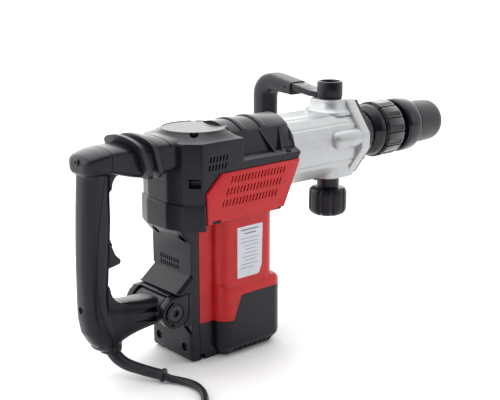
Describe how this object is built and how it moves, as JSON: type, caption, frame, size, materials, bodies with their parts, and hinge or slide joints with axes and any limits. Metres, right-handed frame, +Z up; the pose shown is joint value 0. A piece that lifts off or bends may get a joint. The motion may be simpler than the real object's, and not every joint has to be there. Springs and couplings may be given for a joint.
{
  "type": "demolition hammer",
  "caption": "Electric demolition hammer with vertical motor, crank striking mechanism, hexagon flange, sprung D handle, swinging side handle and keyless chuck.",
  "frame": {"origin": "centre of the motor end cap's flat bottom, on the armature axis", "axes": "+X forward along the barrel towards the chuck, +Y to the user's left, +Z up along the armature"},
  "size_m": [0.589, 0.4868, 0.289],
  "materials": {
    "housing_black": "satin moulded",
    "housing_red": "satin moulded",
    "cast_silver": "painted casting",
    "chuck_black": "black oxide",
    "rubber_black": "matt",
    "cord_rubber": "matt",
    "label_white": "printed foil",
    "steel_plain": "machined",
    "steel_black": "black oxide",
    "bronze": "machined",
    "copper_bar": "machined",
    "lamination": "varnished",
    "carbon": "matt",
    "board_green": "coated",
    "fan_plastic": "matt"
  },
  "bodies": {
    "tool_body": {"motor_housing": "housing_red", "motor_end_cap": "housing_black", "rear_cover": "housing_black", "upper_shroud": "housing_black", "top_cap": "housing_black", "side_panel_right": "housing_red", "side_panel_left": "housing_red", "pivot_bracket": "housing_black", "barrel_housing": "cast_silver", "front_plate": "steel_black", "crank_case": "cast_silver", "housing_screws": "steel_black", "flange_screws": "steel_black", "rating_label": "label_white", "hammer_cylinder": "steel_plain", "bolt_guides": "bronze", "stator": "lamination", "brush_holders": "bronze", "carbon_brushes": "carbon", "armature_bearings": "steel_plain", "crank_bearings": "steel_plain", "speed_control": "board_green", "pivot_bolt": "steel_black", "bellows": "rubber_black", "damper_spring": "steel_plain", "side_handle_screw": "steel_black"},
    "rear_handle": {"handle_rear_shell": "housing_black", "handle_front_shell": "housing_black", "handle_screws": "steel_black", "power_switch": "carbon", "pivot_bushes": "bronze", "cord_guard": "rubber_black", "power_cord": "cord_rubber", "cord_coil": "cord_rubber", "cord_tie": "fan_plastic", "plug_lead": "cord_rubber", "plug_body": "cord_rubber", "plug_pins": "steel_plain"},
    "trigger_lever": {"trigger": "housing_black"},
    "side_handle": {"side_handle_frame": "housing_black", "side_grip": "rubber_black"},
    "knob": {"clamp_knob": "housing_black"},
    "spindle": {"tool_holder": "chuck_black", "dust_cap": "rubber_black", "sleeve_spring": "steel_plain"},
    "ring": {"angle_ring": "chuck_black"},
    "sleeve": {"locking_sleeve": "chuck_black"},
    "segment_left": {"lock_segment_left": "steel_plain"},
    "segment_right": {"lock_segment_right": "steel_plain"},
    "beat_piece": {"impact_bolt": "steel_plain"},
    "ram": {"striker": "steel_plain"},
    "piston_body": {"piston": "steel_plain", "wrist_pin": "steel_plain"},
    "rod": {"connecting_rod": "steel_plain"},
    "crank": {"crankshaft": "steel_plain", "crank_gear": "steel_plain"},
    "armature": {"armature_shaft": "steel_plain", "armature_core": "lamination", "commutator": "copper_bar", "cooling_fan": "fan_plastic"}
  },
  "joints": [
    {"name": "handle_tilt", "type": "hinge", "parent": "tool_body", "child": "rear_handle", "pos_m": [-0.0933, 0, 0.0639], "axis": [0, 1, 0], "range_deg": [0, 1.5], "stiffness_Nm_per_rad": 350, "springref_deg": -1.72, "deforming": ["bellows", "damper_spring"]},
    {"name": "trigger_pull", "type": "hinge", "parent": "rear_handle", "child": "trigger_lever", "pos_m": [-0.158, 0, 0.15], "axis": [0, 1, 0], "range_deg": [0, 11], "stiffness_Nm_per_rad": 0.6, "springref_deg": -11.46},
    {"name": "side_handle_swing", "type": "hinge", "parent": "tool_body", "child": "side_handle", "pos_m": [0.173, 0, 0.2193], "axis": [0, 0, 1], "range_deg": [-55, 50]},
    {"name": "clamp_knob_turn", "type": "hinge", "parent": "tool_body", "child": "knob", "pos_m": [0.173, 0, 0.139], "axis": [0, 0, 1], "range_deg": [-360, 0]},
    {"name": "tool_holder_turn", "type": "hinge", "parent": "tool_body", "child": "spindle", "pos_m": [0.25, 0, 0.2193], "axis": [1, 0, 0], "continuous": true},
    {"name": "angle_ring_slide", "type": "slide", "parent": "spindle", "child": "ring", "axis": [-1, 0, 0], "range_m": [0, 0.004], "stiffness_N_per_m": 1500, "springref_m": -0.003},
    {"name": "sleeve_slide", "type": "slide", "parent": "spindle", "child": "sleeve", "axis": [-1, 0, 0], "range_m": [0, 0.0065], "stiffness_N_per_m": 1200, "springref_m": -0.004, "deforming": ["sleeve_spring"]},
    {"name": "segment_left_slide", "type": "slide", "parent": "spindle", "child": "segment_left", "axis": [0, 1, 0], "range_m": [0, 0.00221]},
    {"name": "segment_right_slide", "type": "slide", "parent": "spindle", "child": "segment_right", "axis": [0, -1, 0], "range_m": [0, 0.00221]},
    {"name": "impact_bolt_slide", "type": "slide", "parent": "tool_body", "child": "beat_piece", "axis": [1, 0, 0], "range_m": [0, 0.01]},
    {"name": "striker_slide", "type": "slide", "parent": "tool_body", "child": "ram", "axis": [1, 0, 0], "range_m": [-0.015, 0.0035]},
    {"name": "piston_slide", "type": "slide", "parent": "tool_body", "child": "piston_body", "axis": [1, 0, 0], "range_m": [-0.03, 0]},
    {"name": "rod_swing", "type": "hinge", "parent": "piston_body", "child": "rod", "pos_m": [0.0386, 0, 0.2193], "axis": [0, 0, 1], "range_deg": [-14, 14]},
    {"name": "crank_spin", "type": "hinge", "parent": "tool_body", "child": "crank", "pos_m": [-0.0384, 0, 0.182], "axis": [0, 0, 1], "continuous": true},
    {"name": "armature_spin", "type": "hinge", "parent": "tool_body", "child": "armature", "pos_m": [0, 0, 0.1], "axis": [0, 0, 1], "continuous": true}
  ],
  "couplings": [
    {"joint": "armature_spin", "follows": "crank_spin", "ratio": -5.4},
    {"joint": "segment_left_slide", "follows": "sleeve_slide", "ratio": 0.33846},
    {"joint": "segment_right_slide", "follows": "sleeve_slide", "ratio": 0.33846}
  ]
}
